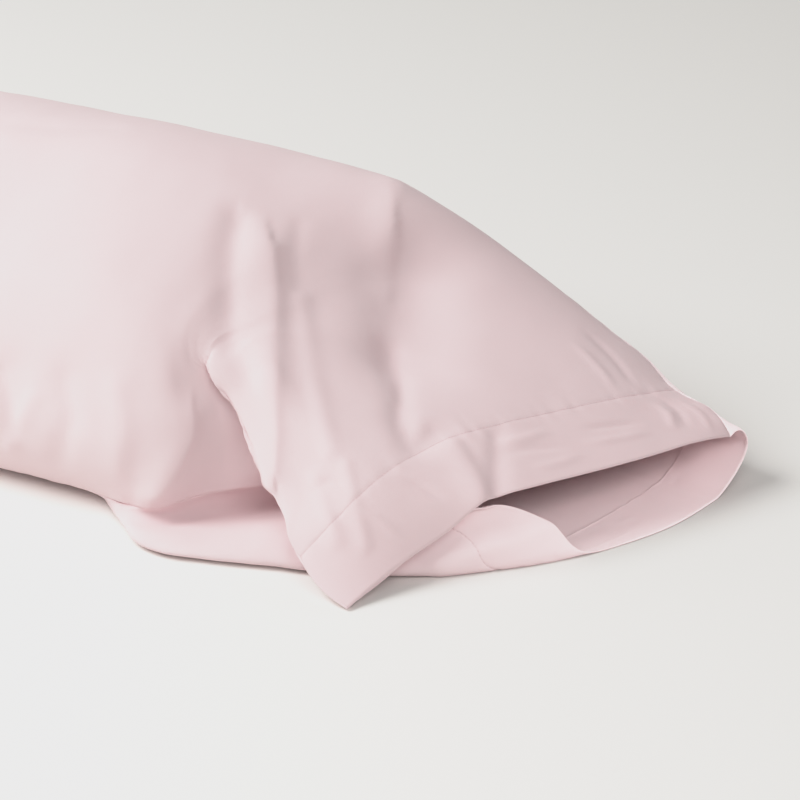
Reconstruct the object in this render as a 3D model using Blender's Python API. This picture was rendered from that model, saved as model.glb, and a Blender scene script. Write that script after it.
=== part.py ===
"""Pillowcase, plumped up and lying on its back panel, with its mouth open towards +X.

Two cut panels meet along a seam down both long sides and across the closed end. Each panel is a thin
sheet, lofted across guide lines that run along the case, with its folds pushed in or out of it.
Metres, +Z up, origin at the bottom centre.
"""

import math

import bmesh
import bpy
import numpy as np

# Driving dimensions, in metres.
CASE_LENGTH = 0.80
HEM_DEPTH = 0.055
CLOTH = 0.0016
HEM_CLOTH = 0.0022
SEAM_GAP = 0.0008
LEAST_LEAN = 0.5
CAP_LENGTH = 0.13
CENTRE = (0.0685, -0.0079)

# Guide lines, named for what they follow. Each row is the distance along the cloth from the closed
# end, then x, y and z there. The near side is -Y.
NEAR_SEAM = (
    (0.130, -0.185, -0.138, 0.018),
    (0.240, -0.075, -0.136, 0.012),
    (0.360, 0.045, -0.137, 0.011),
    (0.410, 0.088, -0.150, 0.016),
    (0.450, 0.118, -0.153, 0.022),
    (0.475, 0.140, -0.130, 0.028),
    (0.500, 0.170, -0.108, 0.031),
    (0.540, 0.226, -0.074, 0.035),
    (0.580, 0.228, -0.092, 0.041),
    (0.610, 0.212, -0.132, 0.047),
    (0.620, 0.209, -0.142, 0.048),
    (0.635, 0.212, -0.148, 0.046),
    (0.660, 0.220, -0.155, 0.041),
    (0.700, 0.231, -0.167, 0.033),
    (0.745, 0.244, -0.175, 0.024),
    (0.770, 0.262, -0.184, 0.012),
    (0.800, 0.290, -0.190, 0.002),
)
NEAR_FOOT = (
    (0.130, -0.190, -0.160, 0.062),
    (0.240, -0.080, -0.160, 0.060),
    (0.360, 0.040, -0.160, 0.060),
    (0.410, 0.092, -0.157, 0.062),
    (0.440, 0.122, -0.146, 0.062),
    (0.455, 0.131, -0.135, 0.064),
    (0.490, 0.152, -0.106, 0.070),
    (0.540, 0.188, -0.078, 0.076),
    (0.580, 0.192, -0.092, 0.077),
    (0.605, 0.183, -0.114, 0.075),
    (0.620, 0.179, -0.123, 0.073),
    (0.635, 0.186, -0.127, 0.071),
    (0.660, 0.199, -0.129, 0.068),
    (0.700, 0.226, -0.136, 0.060),
    (0.745, 0.262, -0.145, 0.050),
    (0.800, 0.306, -0.143, 0.018),
)
NEAR_WAIST = (
    (0.130, -0.195, -0.144, 0.115),
    (0.240, -0.085, -0.146, 0.115),
    (0.360, 0.040, -0.145, 0.113),
    (0.410, 0.090, -0.140, 0.109),
    (0.440, 0.114, -0.131, 0.106),
    (0.455, 0.121, -0.122, 0.105),
    (0.490, 0.140, -0.100, 0.107),
    (0.540, 0.157, -0.086, 0.108),
    (0.580, 0.160, -0.095, 0.106),
    (0.605, 0.152, -0.107, 0.103),
    (0.620, 0.149, -0.111, 0.101),
    (0.635, 0.158, -0.112, 0.101),
    (0.660, 0.180, -0.108, 0.102),
    (0.700, 0.222, -0.112, 0.090),
    (0.745, 0.275, -0.117, 0.067),
    (0.800, 0.326, -0.107, 0.033),
)
NEAR_FLANK = (
    (0.130, -0.195, -0.128, 0.146),
    (0.240, -0.080, -0.130, 0.147),
    (0.360, 0.043, -0.129, 0.143),
    (0.410, 0.088, -0.126, 0.134),
    (0.440, 0.108, -0.121, 0.126),
    (0.455, 0.114, -0.114, 0.123),
    (0.500, 0.126, -0.100, 0.120),
    (0.540, 0.138, -0.089, 0.119),
    (0.580, 0.138, -0.092, 0.121),
    (0.605, 0.133, -0.102, 0.120),
    (0.620, 0.131, -0.108, 0.1185),
    (0.635, 0.141, -0.107, 0.119),
    (0.660, 0.168, -0.098, 0.119),
    (0.700, 0.221, -0.096, 0.099),
    (0.745, 0.285, -0.091, 0.074),
    (0.800, 0.343, -0.079, 0.050),
)
NEAR_SHOULDER = (
    (0.130, -0.190, -0.105, 0.172),
    (0.240, -0.075, -0.107, 0.173),
    (0.360, 0.045, -0.107, 0.168),
    (0.410, 0.085, -0.105, 0.158),
    (0.450, 0.105, -0.107, 0.145),
    (0.500, 0.113, -0.103, 0.139),
    (0.540, 0.118, -0.099, 0.135),
    (0.580, 0.124, -0.095, 0.133),
    (0.620, 0.133, -0.092, 0.131),
    (0.660, 0.155, -0.086, 0.130),
    (0.700, 0.220, -0.078, 0.106),
    (0.745, 0.296, -0.064, 0.078),
    (0.800, 0.362, -0.050, 0.051),
)
CROWN = (
    (0.130, -0.190, 0.008, 0.222),
    (0.240, -0.080, 0.010, 0.223),
    (0.360, 0.045, 0.012, 0.218),
    (0.450, 0.127, 0.018, 0.193),
    (0.540, 0.172, 0.022, 0.164),
    (0.620, 0.215, 0.026, 0.138),
    (0.680, 0.280, 0.030, 0.110),
    (0.745, 0.356, 0.034, 0.077),
    (0.800, 0.412, 0.034, 0.049),
)
FAR_SHOULDER = (
    (0.130, -0.190, 0.105, 0.196),
    (0.240, -0.080, 0.104, 0.200),
    (0.360, 0.045, 0.103, 0.201),
    (0.450, 0.136, 0.101, 0.198),
    (0.500, 0.170, 0.100, 0.195),
    (0.540, 0.198, 0.101, 0.184),
    (0.620, 0.247, 0.108, 0.146),
    (0.680, 0.304, 0.104, 0.113),
    (0.745, 0.385, 0.086, 0.072),
    (0.800, 0.434, 0.078, 0.048),
)
FAR_SEAM = (
    (0.130, -0.185, 0.152, 0.145),
    (0.360, 0.050, 0.153, 0.145),
    (0.450, 0.138, 0.152, 0.145),
    (0.540, 0.212, 0.150, 0.137),
    (0.620, 0.285, 0.147, 0.112),
    (0.680, 0.338, 0.143, 0.086),
    (0.710, 0.366, 0.138, 0.075),
    (0.745, 0.398, 0.119, 0.064),
    (0.775, 0.430, 0.116, 0.057),
    (0.800, 0.449, 0.108, 0.043),
)
UNDER_FLAP = (
    (0.130, -0.185, -0.130, 0.011),
    (0.300, -0.012, -0.130, 0.0085),
    (0.360, 0.045, -0.130, 0.007),
    (0.410, 0.087, -0.150, 0.012),
    (0.450, 0.121, -0.150, 0.015),
    (0.475, 0.145, -0.128, 0.020),
    (0.500, 0.174, -0.104, 0.022),
    (0.540, 0.224, -0.086, 0.029),
    (0.580, 0.232, -0.094, 0.034),
    (0.620, 0.218, -0.127, 0.036),
    (0.660, 0.232, -0.138, 0.030),
    (0.700, 0.243, -0.144, 0.030),
    (0.745, 0.257, -0.148, 0.027),
    (0.770, 0.272, -0.155, 0.014),
    (0.800, 0.294, -0.156, 0.004),
)
TUCK = (
    (0.130, -0.185, -0.122, 0.006),
    (0.300, -0.012, -0.123, 0.0055),
    (0.360, 0.045, -0.125, 0.005),
    (0.410, 0.087, -0.156, 0.010),
    (0.450, 0.120, -0.160, 0.009),
    (0.475, 0.147, -0.135, 0.010),
    (0.500, 0.172, -0.118, 0.012),
    (0.540, 0.214, -0.108, 0.018),
    (0.580, 0.240, -0.100, 0.030),
    (0.620, 0.248, -0.110, 0.034),
    (0.660, 0.260, -0.113, 0.036),
    (0.700, 0.272, -0.114, 0.037),
    (0.745, 0.296, -0.108, 0.038),
    (0.800, 0.340, -0.076, 0.043),
)
LIP_TOP = (
    (0.130, -0.185, -0.116, 0.003),
    (0.300, -0.012, -0.117, 0.003),
    (0.360, 0.045, -0.119, 0.0035),
    (0.410, 0.087, -0.161, 0.008),
    (0.450, 0.120, -0.178, 0.012),
    (0.475, 0.143, -0.165, 0.014),
    (0.500, 0.166, -0.156, 0.017),
    (0.540, 0.205, -0.140, 0.021),
    (0.620, 0.252, -0.130, 0.023),
    (0.700, 0.299, -0.117, 0.022),
    (0.745, 0.337, -0.092, 0.022),
    (0.800, 0.377, -0.043, 0.021),
)
LIP_FOLD = (
    (0.130, -0.185, -0.108, 0.001),
    (0.300, -0.010, -0.113, 0.001),
    (0.360, 0.038, -0.122, 0.0015),
    (0.410, 0.082, -0.155, 0.004),
    (0.450, 0.112, -0.184, 0.005),
    (0.475, 0.137, -0.189, 0.005),
    (0.500, 0.166, -0.182, 0.005),
    (0.540, 0.203, -0.171, 0.005),
    (0.620, 0.257, -0.153, 0.005),
    (0.700, 0.312, -0.127, 0.005),
    (0.745, 0.350, -0.095, 0.005),
    (0.800, 0.397, -0.042, 0.004),
)
FLOOR_NEAR = (
    (0.130, -0.185, -0.090, 0.000),
    (0.300, -0.012, -0.091, 0.000),
    (0.360, 0.045, -0.095, 0.000),
    (0.450, 0.124, -0.152, 0.000),
    (0.475, 0.143, -0.160, 0.000),
    (0.540, 0.211, -0.147, 0.000),
    (0.620, 0.266, -0.130, 0.000),
    (0.700, 0.322, -0.104, 0.000),
    (0.745, 0.361, -0.074, 0.000),
    (0.800, 0.411, -0.022, 0.000),
)
FLOOR_MIDDLE = (
    (0.130, -0.185, 0.010, 0.000),
    (0.360, 0.045, 0.010, 0.000),
    (0.540, 0.210, 0.010, 0.000),
    (0.620, 0.274, 0.010, 0.000),
    (0.745, 0.388, 0.020, 0.000),
    (0.800, 0.437, 0.032, 0.000),
)
FLOOR_FAR = (
    (0.130, -0.185, 0.110, 0.000),
    (0.360, 0.045, 0.110, 0.000),
    (0.620, 0.278, 0.105, 0.000),
    (0.745, 0.400, 0.092, 0.000),
    (0.800, 0.449, 0.091, 0.001),
)
FAR_BULGE = (
    (0.130, -0.190, 0.172, 0.060),
    (0.360, 0.050, 0.174, 0.060),
    (0.620, 0.280, 0.166, 0.045),
    (0.745, 0.404, 0.144, 0.030),
    (0.800, 0.455, 0.130, 0.030),
)
FAR_EDGE = (
    (0.130, -0.188, 0.167, 0.110),
    (0.360, 0.050, 0.169, 0.110),
    (0.450, 0.138, 0.167, 0.108),
    (0.540, 0.212, 0.164, 0.106),
    (0.620, 0.285, 0.160, 0.092),
    (0.710, 0.366, 0.148, 0.064),
    (0.745, 0.401, 0.132, 0.054),
    (0.800, 0.450, 0.125, 0.043),
)
CLOSED_SEAM = (
    (0.00, -0.318, -0.158, 0.045),
    (0.15, -0.300, -0.115, 0.070),
    (0.50, -0.290, 0.005, 0.095),
    (0.85, -0.300, 0.120, 0.115),
    (1.00, -0.316, 0.162, 0.120),
)

# Each panel runs from the near seam to the far seam: a guide line, and the cells up to it.
TOP_GUIDES = (
    (NEAR_SEAM, 0),
    (NEAR_FOOT, 5),
    (NEAR_WAIST, 5),
    (NEAR_FLANK, 3),
    (NEAR_SHOULDER, 3),
    (CROWN, 8),
    (FAR_SHOULDER, 6),
    (FAR_SEAM, 4),
)
BOTTOM_GUIDES = (
    (NEAR_SEAM, 0),
    (UNDER_FLAP, 3),
    (TUCK, 4),
    (LIP_TOP, 4),
    (LIP_FOLD, 5),
    (FLOOR_NEAR, 3),
    (FLOOR_MIDDLE, 4),
    (FLOOR_FAR, 4),
    (FAR_BULGE, 3),
    (FAR_EDGE, 2),
    (FAR_SEAM, 2),
)
CELLS_ACROSS = 34

# Stretches along the case, each with its end and its number of cells: closest at the folds.
STRETCHES = (
    (CAP_LENGTH, 6),
    (0.40, 8),
    (0.70, 28),
    (CASE_LENGTH - HEM_DEPTH, 3),
    (CASE_LENGTH, 4),
)

# Softer folds of the top panel: half width, height out of the cloth, and the points that each runs through.
TOP_FOLDS = (
    (0.017, 0.004, ((0.135, 0.025, 0.180), (0.148, -0.022, 0.165), (0.162, -0.065, 0.138))),
    (0.020, -0.005, ((0.160, 0.035, 0.160), (0.176, -0.015, 0.140), (0.190, -0.060, 0.118))),
    (0.030, -0.006, ((0.192, 0.045, 0.130), (0.186, 0.010, 0.122))),
    (0.018, -0.004, ((0.171, 0.114, 0.180), (0.189, 0.058, 0.150), (0.206, 0.046, 0.126))),
    (0.019, -0.004, ((0.106, -0.032, 0.199), (0.119, -0.050, 0.170), (0.126, -0.076, 0.150))),
    (0.016, -0.003, ((-0.008, -0.160, 0.103), (0.000, -0.158, 0.062))),
    (0.010, 0.002, ((0.258, -0.112, 0.070), (0.265, -0.140, 0.055), (0.274, -0.145, 0.025))),
)

TOP_COLOUR = (0.79, 0.66, 0.67)
BOTTOM_COLOUR = (0.77, 0.63, 0.65)
COTTON_ROUGHNESS = 0.9


def smooth_through(knots, points, at):
    """Points on a smooth curve through the given points, whose places along it are the knots."""
    knots = np.asarray(knots, float)
    points = np.asarray(points, float)
    spans = np.diff(knots)
    slopes = np.diff(points, axis=0) / spans[:, None]
    tangents = np.empty_like(points)
    before, after = spans[:-1, None], spans[1:, None]
    tangents[1:-1] = (slopes[:-1] * after + slopes[1:] * before) / (before + after)
    tangents[0] = 2 * slopes[0] - tangents[1]
    tangents[-1] = 2 * slopes[-1] - tangents[-2]
    at = np.clip(at, knots[0], knots[-1])
    span = np.clip(np.searchsorted(knots, at, side="right") - 1, 0, len(spans) - 1)
    width = spans[span][:, None]
    u = ((at - knots[span]) / spans[span])[:, None]
    return (
        (2 * u**3 - 3 * u**2 + 1) * points[span]
        + (u**3 - 2 * u**2 + u) * width * tangents[span]
        + (3 * u**2 - 2 * u**3) * points[span + 1]
        + (u**3 - u**2) * width * tangents[span + 1]
    )


def guide_points(guide, along):
    rows = np.array(guide)
    return smooth_through(rows[:, 0], rows[:, 1:], along)


def stations():
    """Distances along the cloth, from the closed end to the mouth, at which it has a section."""
    places = [0.0]
    for end, cells in STRETCHES:
        places.extend(np.linspace(places[-1], end, cells + 1)[1:])
    return np.array(places)


def sections(guides, along):
    """Sections across the case, one for each place along it, from the near seam to the far seam."""
    lines = np.array([guide_points(guide, along) for guide, _ in guides])
    columns = np.cumsum([cells for _, cells in guides])
    grid = np.empty((len(along), CELLS_ACROSS + 1, 3))
    for row in range(len(along)):
        points = lines[:, row]
        steps = np.sqrt(np.linalg.norm(np.diff(points, axis=0), axis=1))
        knots = np.concatenate(([0.0], np.cumsum(steps)))
        at = np.interp(np.arange(CELLS_ACROSS + 1), columns, knots)
        grid[row] = smooth_through(knots, points, at)
    return grid


def unit(vectors):
    return vectors / np.maximum(np.linalg.norm(vectors, axis=-1, keepdims=True), 1e-9)


def normals_of(grid, side):
    """Outward normals of a grid of points: side is 1 for the top panel and -1 for the bottom one."""
    along = np.gradient(grid, axis=0)
    across = np.gradient(grid, axis=1)
    return unit(np.cross(along, across)) * side


def add_folds(grid, side, folds):
    """Push each fold's ridge or trough in or out along the panel's normals, dying away beside it."""
    normals = normals_of(grid, side)
    push = np.zeros(grid.shape[:2])
    for half_width, height, points in folds:
        nearest = np.full(grid.shape[:2], np.inf)
        for start, end in zip(np.array(points[:-1]), np.array(points[1:])):
            line = end - start
            place = np.clip((grid - start) @ line / (line @ line), 0, 1)
            offset = grid - (start + place[..., None] * line)
            offset -= (offset * normals).sum(-1, keepdims=True) * normals
            nearest = np.minimum(nearest, (offset**2).sum(-1))
        push += height * np.exp(-nearest / half_width**2)
    return grid + normals * push[..., None]


def panel_points(guides, side, folds, along):
    """The middle surface of a panel. Short of CAP_LENGTH it closes round to the closed end's seam."""
    grid = sections(guides, np.maximum(along, CAP_LENGTH))
    seam = np.array(CLOSED_SEAM)
    closed = smooth_through(seam[:, 0], seam[:, 1:], np.linspace(0, 1, CELLS_ACROSS + 1))
    for row, distance in enumerate(along):
        if distance < CAP_LENGTH:
            turn = distance / CAP_LENGTH * math.pi / 2
            full = grid[row].copy()
            grid[row] = closed + (full - closed) * math.sin(turn)
            grid[row, :, 0] = closed[:, 0] + (full[:, 0] - closed[:, 0]) * (1 - math.cos(turn))
    return add_folds(grid, side, folds)


def half_thickness(along):
    """Half the cloth's thickness at each section: the hem is turned over, so it is thicker."""
    in_hem = along > CASE_LENGTH - HEM_DEPTH
    return np.where(in_hem, HEM_CLOTH, CLOTH)[:, None] / 2


def all_panels():
    along = stations()
    top = panel_points(TOP_GUIDES, 1, TOP_FOLDS, along)
    bottom = panel_points(BOTTOM_GUIDES, -1, (), along)
    for grid in (top, bottom):
        grid[..., :2] -= CENTRE
        grid[..., 2] = np.maximum(grid[..., 2] + CLOTH / 2, half_thickness(along))
    return top, bottom


def into_panel(grid):
    """At each sewn point of a panel, the direction into its cloth. It is zero everywhere else."""
    into = np.zeros_like(grid)
    into[:, 0] += unit(grid[:, 1] - grid[:, 0])
    into[:, -1] += unit(grid[:, -2] - grid[:, -1])
    into[0] += unit(grid[1] - grid[0])
    into[0, 0] = grid[1, 1] - grid[0, 0]
    into[0, -1] = grid[1, -2] - grid[0, -1]
    return unit(into)


def mitred(top, bottom):
    """Both panels' points and outward normals, turned at the seam so that their edges lie face to face."""
    top_normals = normals_of(top, 1)
    bottom_normals = normals_of(bottom, -1)
    apart = into_panel(top) - into_panel(bottom)
    sewn = np.zeros(top.shape[:2], bool)
    sewn[0] = sewn[:, 0] = sewn[:, -1] = True
    shared = unit(top_normals + bottom_normals)
    lean = np.maximum((shared * top_normals).sum(-1, keepdims=True), LEAST_LEAN)
    apart = unit(apart - (apart * shared).sum(-1, keepdims=True) * shared)
    top_normals[sewn] = bottom_normals[sewn] = (shared / lean)[sewn]
    top_points = top + apart * sewn[..., None] * SEAM_GAP / 2
    bottom_points = bottom - apart * sewn[..., None] * SEAM_GAP / 2
    return (top_points, top_normals), (bottom_points, bottom_normals)


def cotton(name, colour):
    material = bpy.data.materials.new(name)
    material.use_nodes = True
    shader = material.node_tree.nodes["Principled BSDF"]
    shader.inputs["Base Color"].default_value = (*colour, 1.0)
    shader.inputs["Roughness"].default_value = COTTON_ROUGHNESS
    shader.inputs["Metallic"].default_value = 0.0
    return material


def sheet(name, points, normals, material, collection):
    """A panel of cloth: an outer and an inner skin on the same grid of points, joined round their edges."""
    offset = normals * half_thickness(stations())[:, None]
    mesh = bmesh.new()
    skins = []
    for skin_points in (points + offset, points - offset):
        skin = np.empty(points.shape[:2], object)
        for place in np.ndindex(skin.shape):
            skin[place] = mesh.verts.new(skin_points[place])
        skins.append(skin)
        for row, column in np.ndindex(skin.shape[0] - 1, skin.shape[1] - 1):
            corners = skin[row : row + 2, column : column + 2]
            mesh.faces.new((corners[0, 0], corners[0, 1], corners[1, 1], corners[1, 0]))
    outer, inner = skins
    for edge in (np.s_[0], np.s_[-1], np.s_[:, 0], np.s_[:, -1]):
        rim = np.stack((outer[edge], inner[edge]))
        for step in range(rim.shape[1] - 1):
            mesh.faces.new((rim[0, step], rim[0, step + 1], rim[1, step + 1], rim[1, step]))
    bmesh.ops.triangulate(mesh, faces=mesh.faces, quad_method="SHORT_EDGE")
    bmesh.ops.recalc_face_normals(mesh, faces=mesh.faces)
    if mesh.calc_volume(signed=True) < 0:
        bmesh.ops.reverse_faces(mesh, faces=mesh.faces)
    data = bpy.data.meshes.new(name)
    mesh.to_mesh(data)
    mesh.free()
    data.materials.append(material)
    data.shade_smooth()
    data.set_sharp_from_angle(angle=math.radians(50))
    collection.objects.link(bpy.data.objects.new(name, data))


def main():
    for old in list(bpy.data.objects):
        bpy.data.objects.remove(old)
    case = bpy.data.collections.new("pillowcase")
    bpy.context.scene.collection.children.link(case)
    top, bottom = mitred(*all_panels())
    sheet("top_panel", *top, cotton("top_cotton", TOP_COLOUR), case)
    sheet("bottom_panel", *bottom, cotton("bottom_cotton", BOTTOM_COLOUR), case)


if __name__ == "__main__":
    main()
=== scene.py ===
"""Dresses the pillowcase: two panels of pale cotton, sewn down both sides and across the closed end.

Each panel is lofted through guide lines close to its solid's, on a grid of 2 to 4 mm, and gets what the
solid leaves out: its finer folds, its seams with their puckers, its turned hem and the hem's stitches.
A place on a panel is given in cloth metres: along from the closed end, and across from the near seam.
"""

import math
from collections import namedtuple

import bmesh
import bpy
import numpy as np
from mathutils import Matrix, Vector, noise


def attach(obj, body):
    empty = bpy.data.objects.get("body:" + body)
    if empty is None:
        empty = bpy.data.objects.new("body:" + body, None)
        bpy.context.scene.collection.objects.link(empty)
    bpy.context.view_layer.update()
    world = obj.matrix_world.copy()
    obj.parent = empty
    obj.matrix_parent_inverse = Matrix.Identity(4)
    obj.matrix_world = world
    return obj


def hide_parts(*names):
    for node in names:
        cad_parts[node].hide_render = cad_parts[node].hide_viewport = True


bl_info = {
    "name": "Pillowcase",
    "version": (1, 0, 0),
    "blender": (4, 5, 0),
    "location": "View3D > Sidebar > Pillowcase",
    "description": "Builds a plumped cotton pillowcase with its seams, hems and stitches",
    "category": "Add Mesh",
}

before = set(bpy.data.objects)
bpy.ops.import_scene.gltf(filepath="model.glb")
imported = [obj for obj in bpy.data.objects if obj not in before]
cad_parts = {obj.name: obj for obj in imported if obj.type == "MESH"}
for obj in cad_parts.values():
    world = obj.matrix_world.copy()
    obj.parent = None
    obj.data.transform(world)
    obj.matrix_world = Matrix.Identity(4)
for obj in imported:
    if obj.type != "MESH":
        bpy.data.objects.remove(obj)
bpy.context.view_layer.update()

# Sizes of the cut cloth, in metres, and the length over which the closed end rounds off.
CASE_LENGTH = 0.80
PANEL_WIDTH = 0.40
HEM_DEPTH = 0.055
HEM_LINE = CASE_LENGTH - HEM_DEPTH
CAP_LENGTH = 0.13

# The point of the guide lines' x and y that is the frame's origin.
CENTRE = (0.0685, -0.0079)

# Guide lines, named for what they follow. Each row is the distance along the cloth from the closed
# end, then x, y and z there. The near side is -Y.
NEAR_SEAM = (
    (0.130, -0.185, -0.138, 0.018),
    (0.240, -0.075, -0.136, 0.012),
    (0.360, 0.045, -0.137, 0.011),
    (0.410, 0.088, -0.150, 0.016),
    (0.450, 0.118, -0.153, 0.022),
    (0.475, 0.140, -0.130, 0.028),
    (0.500, 0.170, -0.108, 0.031),
    (0.540, 0.226, -0.074, 0.035),
    (0.580, 0.228, -0.092, 0.041),
    (0.610, 0.212, -0.132, 0.047),
    (0.620, 0.209, -0.142, 0.048),
    (0.635, 0.212, -0.148, 0.046),
    (0.660, 0.220, -0.155, 0.041),
    (0.700, 0.231, -0.167, 0.033),
    (0.745, 0.244, -0.175, 0.024),
    (0.770, 0.262, -0.184, 0.012),
    (0.800, 0.290, -0.190, 0.002),
)
NEAR_FOOT = (
    (0.130, -0.190, -0.160, 0.062),
    (0.240, -0.080, -0.160, 0.060),
    (0.360, 0.040, -0.160, 0.060),
    (0.410, 0.092, -0.157, 0.062),
    (0.440, 0.122, -0.146, 0.062),
    (0.455, 0.131, -0.135, 0.064),
    (0.490, 0.152, -0.106, 0.070),
    (0.540, 0.188, -0.078, 0.076),
    (0.580, 0.192, -0.092, 0.077),
    (0.605, 0.183, -0.114, 0.075),
    (0.620, 0.179, -0.123, 0.073),
    (0.635, 0.186, -0.127, 0.071),
    (0.660, 0.199, -0.129, 0.068),
    (0.700, 0.226, -0.136, 0.060),
    (0.745, 0.262, -0.145, 0.050),
    (0.800, 0.306, -0.143, 0.018),
)
NEAR_WAIST = (
    (0.130, -0.195, -0.144, 0.115),
    (0.240, -0.085, -0.146, 0.115),
    (0.360, 0.040, -0.145, 0.113),
    (0.410, 0.090, -0.140, 0.109),
    (0.440, 0.114, -0.131, 0.106),
    (0.455, 0.121, -0.122, 0.105),
    (0.490, 0.140, -0.100, 0.107),
    (0.540, 0.157, -0.086, 0.108),
    (0.580, 0.160, -0.095, 0.106),
    (0.605, 0.152, -0.107, 0.103),
    (0.620, 0.149, -0.111, 0.101),
    (0.635, 0.158, -0.112, 0.101),
    (0.660, 0.180, -0.108, 0.102),
    (0.700, 0.222, -0.112, 0.090),
    (0.745, 0.275, -0.117, 0.067),
    (0.800, 0.326, -0.107, 0.033),
)
NEAR_FLANK = (
    (0.130, -0.195, -0.128, 0.146),
    (0.240, -0.080, -0.130, 0.147),
    (0.360, 0.043, -0.129, 0.143),
    (0.410, 0.088, -0.126, 0.134),
    (0.440, 0.107, -0.122, 0.126),
    (0.455, 0.114, -0.117, 0.123),
    (0.500, 0.120, -0.111, 0.121),
    (0.540, 0.125, -0.107, 0.120),
    (0.580, 0.129, -0.106, 0.120),
    (0.605, 0.131, -0.108, 0.120),
    (0.620, 0.133, -0.112, 0.119),
    (0.635, 0.142, -0.110, 0.119),
    (0.660, 0.168, -0.099, 0.119),
    (0.700, 0.221, -0.096, 0.099),
    (0.745, 0.285, -0.091, 0.074),
    (0.800, 0.343, -0.079, 0.050),
)
NEAR_SHOULDER = (
    (0.130, -0.190, -0.105, 0.172),
    (0.240, -0.075, -0.107, 0.173),
    (0.360, 0.045, -0.107, 0.168),
    (0.410, 0.085, -0.105, 0.158),
    (0.450, 0.105, -0.108, 0.145),
    (0.500, 0.113, -0.106, 0.141),
    (0.540, 0.119, -0.104, 0.138),
    (0.580, 0.126, -0.102, 0.135),
    (0.620, 0.135, -0.098, 0.132),
    (0.660, 0.155, -0.090, 0.129),
    (0.700, 0.220, -0.078, 0.106),
    (0.745, 0.296, -0.064, 0.078),
    (0.800, 0.362, -0.050, 0.051),
)
CROWN = (
    (0.130, -0.190, 0.008, 0.222),
    (0.240, -0.080, 0.010, 0.223),
    (0.360, 0.045, 0.012, 0.218),
    (0.450, 0.127, 0.018, 0.193),
    (0.540, 0.172, 0.022, 0.164),
    (0.620, 0.215, 0.026, 0.138),
    (0.680, 0.280, 0.030, 0.110),
    (0.745, 0.356, 0.034, 0.077),
    (0.800, 0.412, 0.034, 0.049),
)
FAR_SHOULDER = (
    (0.130, -0.190, 0.105, 0.196),
    (0.240, -0.080, 0.104, 0.200),
    (0.360, 0.045, 0.103, 0.201),
    (0.450, 0.136, 0.101, 0.198),
    (0.500, 0.170, 0.100, 0.195),
    (0.540, 0.198, 0.101, 0.184),
    (0.620, 0.247, 0.108, 0.146),
    (0.680, 0.304, 0.104, 0.113),
    (0.745, 0.385, 0.086, 0.072),
    (0.800, 0.434, 0.078, 0.048),
)
FAR_SEAM = (
    (0.130, -0.185, 0.152, 0.145),
    (0.360, 0.050, 0.153, 0.145),
    (0.450, 0.138, 0.152, 0.145),
    (0.540, 0.212, 0.150, 0.137),
    (0.620, 0.285, 0.147, 0.112),
    (0.680, 0.338, 0.143, 0.086),
    (0.710, 0.366, 0.138, 0.075),
    (0.745, 0.398, 0.119, 0.064),
    (0.775, 0.430, 0.116, 0.057),
    (0.800, 0.449, 0.108, 0.043),
)
UNDER_FLAP = (
    (0.130, -0.185, -0.130, 0.011),
    (0.300, -0.012, -0.130, 0.0085),
    (0.360, 0.045, -0.130, 0.007),
    (0.410, 0.087, -0.150, 0.012),
    (0.450, 0.124, -0.138, 0.016),
    (0.475, 0.149, -0.114, 0.021),
    (0.500, 0.179, -0.086, 0.024),
    (0.540, 0.231, -0.064, 0.028),
    (0.580, 0.232, -0.094, 0.034),
    (0.620, 0.218, -0.127, 0.036),
    (0.660, 0.232, -0.138, 0.030),
    (0.700, 0.243, -0.144, 0.030),
    (0.745, 0.257, -0.148, 0.027),
    (0.770, 0.272, -0.155, 0.014),
    (0.800, 0.294, -0.156, 0.004),
)
TUCK = (
    (0.130, -0.185, -0.122, 0.006),
    (0.300, -0.012, -0.123, 0.0055),
    (0.360, 0.045, -0.125, 0.005),
    (0.410, 0.087, -0.156, 0.010),
    (0.450, 0.126, -0.140, 0.009),
    (0.475, 0.153, -0.112, 0.011),
    (0.500, 0.182, -0.086, 0.012),
    (0.540, 0.226, -0.076, 0.015),
    (0.580, 0.240, -0.100, 0.030),
    (0.620, 0.248, -0.110, 0.034),
    (0.660, 0.260, -0.113, 0.036),
    (0.700, 0.272, -0.114, 0.037),
    (0.745, 0.296, -0.108, 0.038),
    (0.800, 0.340, -0.076, 0.043),
)
LIP_TOP = (
    (0.130, -0.185, -0.116, 0.003),
    (0.300, -0.012, -0.117, 0.003),
    (0.360, 0.045, -0.119, 0.0035),
    (0.410, 0.087, -0.161, 0.008),
    (0.450, 0.120, -0.178, 0.012),
    (0.475, 0.143, -0.165, 0.013),
    (0.500, 0.166, -0.154, 0.014),
    (0.540, 0.205, -0.140, 0.021),
    (0.620, 0.252, -0.130, 0.023),
    (0.700, 0.299, -0.117, 0.022),
    (0.745, 0.337, -0.092, 0.022),
    (0.800, 0.377, -0.043, 0.021),
)
LIP_FOLD = (
    (0.130, -0.185, -0.108, 0.001),
    (0.300, -0.010, -0.113, 0.001),
    (0.360, 0.038, -0.122, 0.0015),
    (0.410, 0.082, -0.155, 0.004),
    (0.450, 0.112, -0.184, 0.005),
    (0.475, 0.137, -0.189, 0.005),
    (0.500, 0.166, -0.182, 0.005),
    (0.540, 0.203, -0.171, 0.005),
    (0.620, 0.257, -0.153, 0.005),
    (0.700, 0.312, -0.127, 0.005),
    (0.745, 0.350, -0.095, 0.005),
    (0.800, 0.397, -0.042, 0.004),
)
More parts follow.
